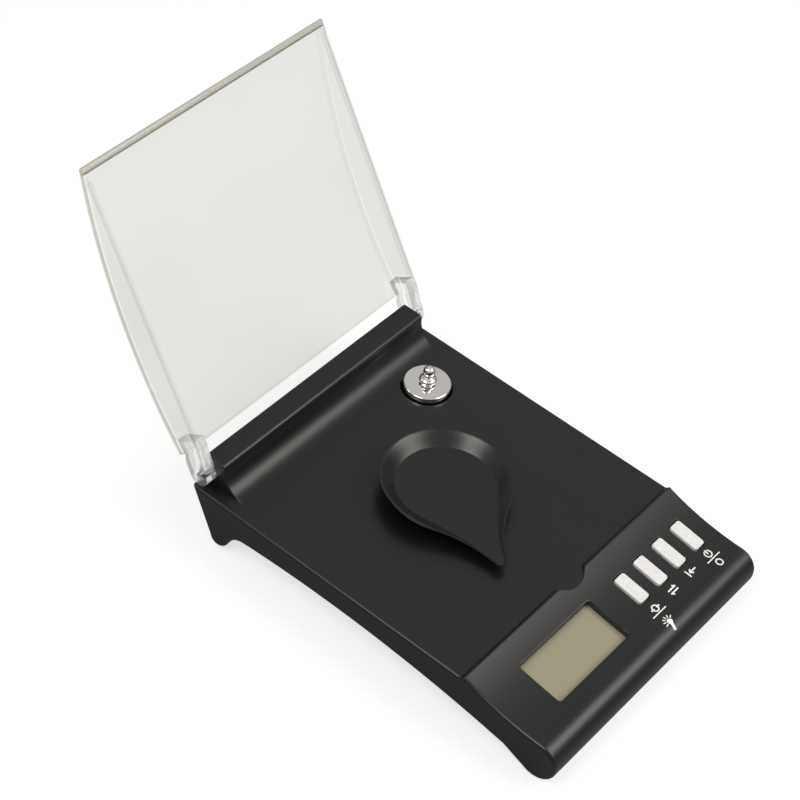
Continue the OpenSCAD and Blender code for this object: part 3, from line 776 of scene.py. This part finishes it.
# Section of the pan's wall: share of the way out, and share of the way up.
PAN_WALL = (
    (-0.12, 0), (-0.06, 0.004), (0, 0.02), (0.06, 0.055), (0.12, 0.115), (0.3, 0.335), (0.5, 0.58),
    (0.7, 0.822), (0.8, 0.92), (0.88, 0.97), (0.95, 0.992), (0.99, 1.0),
)
# The rounded lip of the sheet: share out, share up, and drop.
PAN_LIP = ((1.0, 1.0, 0.06), (1.0, 1.0, 0.2), (0.985, 0.985, 0.38))


def flank(u, r, reach, tip, hollow):
    """Half width of a teardrop at u along its axis; the flanks are hollow arcs."""
    c = reach - tip
    a = r + hollow
    b = tip + hollow
    cu = (a * a - b * b + c * c) / (2 * c)
    cv = math.sqrt(a * a - cu * cu)
    if u < r * cu / a:
        return math.sqrt(max(0, r * r - u * u))
    if u < c + tip * (cu - c) / b:
        return cv - math.sqrt(hollow * hollow - (cu - u) ** 2)
    return math.sqrt(max(0, tip * tip - (u - c) ** 2))


def teardrop(share, r, reach, tip, hollow):
    """A point on a teardrop's edge; share runs from 1 at its round end to -1 at its tip."""
    u = (reach - r) / 2 - (reach + r) / 2 * share
    return u, flank(u, r, reach, tip, hollow)


def ease(x):
    """A smooth step from 0 to 1."""
    t = min(1, max(0, x))
    return t * t * (3 - 2 * t)


def make_pan():
    """The pouring pan: a thin dish whose outline is a teardrop, lower towards its lip."""
    lo, hi = box_mm("pan")
    centre_y = hi.y - PAN_R
    floor_z = lo.z + SHEET
    turn = math.radians(-90 - LIP_TURN)

    def place(u, v, z):
        x = PAN_X + u * math.cos(turn) - v * math.sin(turn)
        y = centre_y + u * math.sin(turn) + v * math.cos(turn)
        return (x, y, z)

    def ring(run, rise, drop):
        out = []
        for i in range(2 * PAN_STEPS):
            k = i if i <= PAN_STEPS else 2 * PAN_STEPS - i
            share = math.cos(math.pi * k / PAN_STEPS)
            rim_u, rim_v = teardrop(share, PAN_R, LIP_REACH, LIP_TIP_R, LIP_HOLLOW)
            low_u, low_v = teardrop(share, PAN_FLOOR_R, FLOOR_REACH, FLOOR_TIP_R, FLOOR_HOLLOW)
            rim_h = PAN_H - PAN_FALL * ease(rim_u / LIP_REACH)
            u = low_u + (rim_u - low_u) * run
            v = low_v + (rim_v - low_v) * run
            v = v if i <= PAN_STEPS else -v
            out.append(place(u, v, floor_z + rim_h * rise - drop))
        return out

    rings = [ring(run, rise, 0) for run, rise in PAN_WALL]
    rings += [ring(run, rise, drop) for run, rise, drop in PAN_LIP]
    rings += [ring(run, rise, SHEET) for run, rise in reversed(PAN_WALL[:-2])]
    verts, faces = rings_mesh(rings)
    pan = new_object("pan_dish", verts, faces, pan_black(), sharp=60)
    even_shading(pan)
    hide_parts("pan")
    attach(pan, "pan")


# ---------------------------------------------------------------- weight
DRUM_H = 10
DRUM_FOOT = 0.4
DRUM_ROUND = 0.45
DRUM_ROUND_ANGLES = (0.3, 0.6, 0.9, 1.2)
# Heights of the bead's and the ball's middles over the drum.
BEAD_UP = 0.98
BEAD_R = 2.2
BEAD_H = 0.95
BEAD_ANGLES = (-0.9, -0.6, -0.3, 0, 0.3, 0.6, 0.85)
BALL_UP = 3.6
BALL_R = 1.5


def make_weight():
    """The weight, turned in one piece: a drum, a flat bead on it, and a ball on a short neck."""
    r = radius_of("calibration_weight")
    foot = box_mm("calibration_weight")[0].z
    top = foot + DRUM_H
    bend_r, bend_z = r - DRUM_ROUND, top - DRUM_ROUND
    profile = [(0.01, foot), (r - DRUM_FOOT, foot), (r, foot + DRUM_FOOT), (r, bend_z)]
    for a in DRUM_ROUND_ANGLES:
        profile.append((bend_r + DRUM_ROUND * math.cos(a), bend_z + DRUM_ROUND * math.sin(a)))
    profile += [(bend_r, top), (1.7, top), (1.5, top + 0.04)]
    for a in BEAD_ANGLES:
        profile.append((BEAD_R * math.cos(a) ** 0.8, top + BEAD_UP + BEAD_H * math.sin(a)))
    profile += [(1.0, top + 2.0), (0.95, top + 2.3)]
    for degrees in range(-48, 91, 6):
        a = math.radians(degrees)
        profile.append((BALL_R * math.cos(a) + 0.0001, top + BALL_UP + BALL_R * math.sin(a)))
    spot = centre_of("calibration_weight")
    weight = lathe("weight_10g", profile, spot, nickel(), steps=128, sharp=50)
    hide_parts("calibration_weight")
    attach(weight, "weight")


# ---------------------------------------------------------------- controls
KEY_WIDE = 3.7
KEY_LONG = 8.2
KEY_CORNER = 0.7
KEY_TOP = 0.55
KEY_EDGE = 0.3
KEY_EDGE_STEPS = 4
KEY_FOOT = -2.8
SKIRT_GROW = 1.4
SKIRT_LEVELS = (-2.3, -1.8)
DISPLAY_LONG = 15.4
# Levels of the display's glass, and how much each is drawn in.
DISPLAY_LEVELS = ((-3.15, 0), (-1.65, 0), (-1.6, -0.08))


def make_button(name, mat):
    """One rubber key with rounded edges, and the skirt that holds it under the panel."""
    cx = centre_of(name + "_button")[0]
    foot = rounded_ring(cx, KEY_Y, KEY_WIDE, KEY_LONG, KEY_CORNER)
    rings = [[panel_point(x, y, KEY_FOOT) for x, y in foot]]
    for k in range(KEY_EDGE_STEPS + 1):
        a = math.pi / 2 * k / KEY_EDGE_STEPS
        shrink = KEY_EDGE * (1 - math.cos(a))
        level = KEY_TOP - KEY_EDGE + KEY_EDGE * math.sin(a)
        corner = max(0.25, KEY_CORNER - shrink)
        ring = rounded_ring(cx, KEY_Y, KEY_WIDE - 2 * shrink, KEY_LONG - 2 * shrink, corner)
        rings.append([panel_point(x, y, level) for x, y in ring])
    flange = rounded_ring(cx, KEY_Y, KEY_WIDE + SKIRT_GROW, KEY_LONG + SKIRT_GROW, 0.6)
    skirt_rings = [[panel_point(x, y, level) for x, y in flange] for level in SKIRT_LEVELS]
    cap = new_object("cap", *rings_mesh(rings), mat)
    skirt = new_object("skirt", *rings_mesh(skirt_rings), mat)
    key = joined(name + "_keycap", [cap, skirt])
    even_shading(key)
    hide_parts(name + "_button")
    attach(key, name + "_key")


def make_display():
    """The display's glass, with a small bevel round its face."""
    lo, hi = box_mm("display_glass")
    cx = centre_of("display_glass")[0]
    rings = []
    for level, grow in DISPLAY_LEVELS:
        ring = rounded_ring(cx, 0, hi.x - lo.x + 2 * grow, DISPLAY_LONG + 2 * grow, 0.3)
        rings.append([panel_point(x, y, level) for x, y in ring])
    glass = new_object("display_face", *rings_mesh(rings), display_glass())
    even_shading(glass)
    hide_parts("display_glass")
    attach(glass, "case")


# ---------------------------------------------------------------- print on the panel
# Thickness of the ink, and widths of its lines.
INK = 0.03
LINE = 0.36
RULE = 0.28
RAY = 0.26
OVERLAP = 0.6


def stroke(points, width):
    """Closed plan outlines of a bar of that width along each pair of points, a little overlong."""
    bars = []
    for p, q in zip(points, points[1:]):
        d = (Vector(q) - Vector(p)).normalized() * width / 2
        n = Vector((-d.y, d.x))
        start, end = Vector(p) - d * OVERLAP, Vector(q) + d * OVERLAP
        bars.append([tuple(start - n), tuple(end - n), tuple(end + n), tuple(start + n)])
    return bars


def ring_strokes(cx, cy, r, a0=0, a1=360):
    """Short bars round an arc of a circle."""
    return stroke(arc(cx, cy, r, a0, a1, 18), LINE)


def inked(x, y, level):
    """The point at a height above the panel, or above the nose in front of it."""
    if y > NOSE_Y:
        return (x, y, PANEL_CZ - math.sqrt(PANEL_R**2 - (y - NOSE_Y) ** 2) + level)
    return (x, y, NOSE_Z + math.sqrt(NOSE_R**2 - (y - NOSE_Y) ** 2) + level)


def printed(name, bars, mat):
    """White print on the panel: thin bars given in plan (x, y), laid on the panel's skin."""
    verts, faces = [], []
    for bar in bars:
        base = len(verts)
        n = len(bar)
        for level in (INK, 0.0):
            verts += [inked(x, y, level) for x, y in bar]
        verts.append(inked(sum(x for x, y in bar) / n, sum(y for x, y in bar) / n, INK))
        faces += [(base + 2 * n, base + i, base + (i + 1) % n) for i in range(n)]
        faces.append(tuple(base + n + i for i in range(n))[::-1])
        faces += [(base + i, base + n + i, base + n + (i + 1) % n, base + (i + 1) % n) for i in range(n)]
    mark = new_object(name, verts, faces, mat)
    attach(mark, "case")


def lamp_bars(cx, cy):
    """A lamp: a disc for its bulb, a fan of rays behind it and a thick base in front."""
    bulb_r, ray_from, ray_to = 0.75, 1.1, 1.75
    bars = [arc(cx, cy, bulb_r, 0, 360, 20)[:-1]]
    for degrees in range(32, 212, 32):
        c, s = math.cos(math.radians(degrees)), math.sin(math.radians(degrees))
        bars += stroke([(cx + ray_from * c, cy + ray_from * s), (cx + ray_to * c, cy + ray_to * s)], RAY)
    base = [(cx - 0.1 - 0.1 * k, cy - 0.7 - 0.3 * k) for k in range(5)]
    return bars + stroke(base, bulb_r)


def make_prints():
    """Plain pictograms stand where the keys' names would be."""
    white = simple("print_white", (0.78, 0.78, 0.76), (0.86, 0.86, 0.84), (0.4, 0.5), 900)
    # Target over a rule: calibrate.
    target = ring_strokes(9.6, -44.6, 0.85)
    target += stroke([(8.2, -44.6), (9.1, -44.6)], LINE)
    target += stroke([(10.1, -44.6), (11.0, -44.6)], LINE)
    target += stroke([(6.9, -46.0), (11.8, -46.0)], RULE)
    printed("mark_cal", target, white)
    # Two arrows: change the unit.
    arrows = stroke([(15.8, -44.0), (18.4, -44.0), (17.8, -43.5)], LINE)
    arrows += stroke([(18.4, -44.9), (15.8, -44.9), (16.4, -45.4)], LINE)
    printed("mark_unit", arrows, white)
    # Arrow pressed to a bar: back to nought.
    pressed = stroke([(23.5, -43.3), (23.5, -45.2)], LINE)
    pressed += stroke([(26.3, -44.3), (24.2, -44.3)], LINE)
    pressed += stroke([(24.9, -43.7), (24.2, -44.3), (24.9, -44.9)], LINE)
    printed("mark_tare", pressed, white)
    # Broken ring with a bar, over a rule and a plain ring: power.
    power = ring_strokes(32.1, -44.1, 0.95, 125, 415)
    power += stroke([(32.1, -43.0), (32.1, -44.1)], LINE)
    power += stroke([(29.7, -45.7), (34.5, -45.7)], RULE)
    power += ring_strokes(32.1, -47.4, 0.85)
    printed("mark_power", power, white)
    # Lamp: the display's light.
    printed("mark_lamp", lamp_bars(9.0, -49.2), white)


# ---------------------------------------------------------------- other CAD nodes
def dress(nodes, mat):
    """Gives CAD nodes a material and smooth shading where they are round."""
    for name in nodes:
        obj = frame["nodes"][name]
        obj.data.materials.clear()
        obj.data.materials.append(mat)
        smooth(obj)


def dress_cad():
    """Finishes for the CAD nodes that are shown as they are."""
    steel = simple("steel", (0.45, 0.45, 0.45), (0.6, 0.6, 0.59), (0.25, 0.4), 800, metallic=1.0)
    aluminium = simple("aluminium", (0.62, 0.62, 0.63), (0.72, 0.72, 0.73), (0.3, 0.45), 700, metallic=1.0)
    dress(["bottom_case", "battery_door"], rough_black_plastic())
    dress(["hinge_pin_left", "hinge_pin_right", "load_bracket", "stem_screw"], steel)
    dress(["load_cell_screws", "bracket_screws", "board_screws", "case_screws"], steel)
    dress(["battery_springs", "battery_tabs", "crystal"], steel)
    dress(["load_plate", "load_cell"], aluminium)

    sealant = simple("sealant", (0.75, 0.75, 0.7), (0.85, 0.85, 0.8), (0.5, 0.7))
    dress(["gauge_coating"], sealant)
    lead_red = simple("lead_red", (0.35, 0.03, 0.02), (0.45, 0.05, 0.04), (0.3, 0.4))
    dress(["load_cell_wires", "battery_leads"], lead_red)
    board_green = simple("board_green", (0.01, 0.09, 0.04), (0.02, 0.14, 0.06), (0.3, 0.4))
    dress(["main_board"], board_green)
    chip_black = simple("chip_black", grey(0.015), grey(0.03), (0.4, 0.55))
    dress(["controller_chip", "converter_chip", "chip_resistors"], chip_black)
    dress([name + "_switch" for name in BUTTON_NAMES], chip_black)
    plunger_red = simple("plunger_red", (0.2, 0.02, 0.02), (0.3, 0.04, 0.03), (0.4, 0.5))
    dress([name + "_plunger" for name in BUTTON_NAMES], plunger_red)

    light_guide = simple("light_guide", (0.8, 0.85, 0.65), (0.85, 0.9, 0.7), (0.2, 0.3))
    dress(["display_light"], light_guide)
    frame_white = simple("frame_white", grey(0.6), grey(0.7), (0.4, 0.5))
    dress(["display_frame"], frame_white)
    connector_pink = simple("connector_pink", (0.6, 0.3, 0.35), (0.7, 0.35, 0.4), (0.5, 0.6))
    dress(["display_connector"], connector_pink)
    battery_blue = simple("battery_blue", (0.04, 0.14, 0.4), (0.06, 0.2, 0.5), (0.2, 0.3))
    dress(["battery_left", "battery_right"], battery_blue)
    foot_rubber = simple("foot_rubber", grey(0.02), grey(0.035), (0.6, 0.75), bump=0.3)
    dress(["foot_front_left", "foot_front_right", "foot_rear_left", "foot_rear_right"], foot_rubber)


# ---------------------------------------------------------------- studio
WORLD = 0.58
WORLD_LOW = 0.16
FLOOR_GREY = 0.32
FLOOR_GLOW = 0.69
FLOOR_HALF = 1500
# Just under the feet, so that the floor and their soles don't share a plane.
FLOOR_Z = -0.03
# Softboxes: name, compass direction and height in degrees, size in metres, power, colour.
SOFTBOXES = (
    ("key", -58, 45, (0.38, 0.32), 1.9, (1.0, 0.95, 0.88)),
    ("side", 168, 57, (0.26, 0.26), 1.5, (1.0, 0.96, 0.9)),
)
SOFTBOX_AWAY = 0.6
CAMERA_LENS = 106.65
CAMERA_PLACE = (-323.8, -180.45, 422.7)
CAMERA_RIGHT = (0.63061, -0.76737, 0.11606)
CAMERA_BACK = (-0.59216, -0.37909, 0.71108)


def softbox(name, azimuth, elevation, size, power, colour):
    """An area light that faces the object from a compass direction."""
    az, el = math.radians(azimuth), math.radians(elevation)
    lamp = bpy.data.lights.new(name, "AREA")
    lamp.shape = "RECTANGLE"
    lamp.size, lamp.size_y = size
    lamp.energy = power
    lamp.color = colour
    obj = bpy.data.objects.new(name, lamp)
    direction = Vector((math.cos(el) * math.cos(az), math.cos(el) * math.sin(az), math.sin(el)))
    obj.location = direction * SOFTBOX_AWAY + Vector((0, MIDDLE_Y, 0))
    obj.rotation_euler = direction.to_track_quat("Z", "Y").to_euler()
    bpy.context.scene.collection.objects.link(obj)


def pale_floor():
    """Near-white from above, greyer where the object mirrors it, and clear when seen from below."""
    mat = material("floor_pale", Base_Color=(*grey(FLOOR_GREY), 1), Roughness=0.9)
    nodes, links = mat.node_tree.nodes, mat.node_tree.links
    shader = nodes["Principled BSDF"]
    shader.inputs["Emission Color"].default_value = (1, 1, 1, 1)
    # It glows for the camera and for light that passes through the clear ears.
    path = nodes.new("ShaderNodeLightPath")
    seen = nodes.new("ShaderNodeMath")
    seen.operation = "MAXIMUM"
    glow = nodes.new("ShaderNodeMath")
    glow.operation = "MULTIPLY"
    glow.inputs[1].default_value = FLOOR_GLOW
    links.new(path.outputs["Is Camera Ray"], seen.inputs[0])
    links.new(path.outputs["Is Transmission Ray"], seen.inputs[1])
    links.new(seen.outputs["Value"], glow.inputs[0])
    links.new(glow.outputs["Value"], shader.inputs["Emission Strength"])
    geometry = nodes.new("ShaderNodeNewGeometry")
    clear = nodes.new("ShaderNodeBsdfTransparent")
    side = nodes.new("ShaderNodeMixShader")
    links.new(geometry.outputs["Backfacing"], side.inputs["Fac"])
    links.new(shader.outputs["BSDF"], side.inputs[1])
    links.new(clear.outputs["BSDF"], side.inputs[2])
    links.new(side.outputs["Shader"], nodes["Material Output"].inputs["Surface"])
    return mat


def soft_world():
    """Even light from above that falls off towards the horizon."""
    world = bpy.data.worlds.new("studio")
    world.use_nodes = True
    nodes, links = world.node_tree.nodes, world.node_tree.links
    background = nodes["Background"]
    background.inputs["Color"].default_value = (1, 1, 1, 1)
    coords = nodes.new("ShaderNodeTexCoord")
    axes = nodes.new("ShaderNodeSeparateXYZ")
    spread = nodes.new("ShaderNodeMapRange")
    spread.interpolation_type = "SMOOTHSTEP"
    spread.inputs["From Min"].default_value = 0.02
    spread.inputs["From Max"].default_value = 0.62
    spread.inputs["To Min"].default_value = WORLD_LOW
    spread.inputs["To Max"].default_value = WORLD
    links.new(coords.outputs["Generated"], axes.inputs["Vector"])
    links.new(axes.outputs["Z"], spread.inputs["Value"])
    links.new(spread.outputs["Result"], background.inputs["Strength"])
    bpy.context.scene.world = world


def make_studio():
    """World light, two softboxes and a wide floor."""
    soft_world()
    for box in SOFTBOXES:
        softbox(*box)
    far = FLOOR_HALF
    corners = [(-far, -far, FLOOR_Z), (far, -far, FLOOR_Z), (far, far, FLOOR_Z), (-far, far, FLOOR_Z)]
    floor = new_object("floor", corners, [(0, 1, 2, 3)], pale_floor())


def make_camera():
    """The camera stands at the photograph's angle; the columns are its right, up and back axes."""
    data = bpy.data.cameras.new("camera")
    data.lens = CAMERA_LENS
    data.sensor_width = 36
    data.clip_start = 0.01
    camera = bpy.data.objects.new("camera", data)
    right = Vector(CAMERA_RIGHT)
    back = Vector(CAMERA_BACK).normalized()
    right = (right - back * right.dot(back)).normalized()
    up = back.cross(right)
    turn = Matrix((right, up, back)).transposed().to_4x4()
    place = Vector(CAMERA_PLACE) * MM + Vector((0, MIDDLE_Y, 0))
    camera.matrix_world = Matrix.Translation(place) @ turn
    bpy.context.scene.collection.objects.link(camera)
    bpy.context.scene.camera = camera


make_camera()
make_studio()
dress_cad()
make_case()
make_pocket_tube()
make_cover()
make_pan()
make_weight()
button_material = button_white()
for button in BUTTON_NAMES:
    make_button(button, button_material)
make_display()
make_prints()
bpy.context.scene.view_settings.view_transform = "Standard"
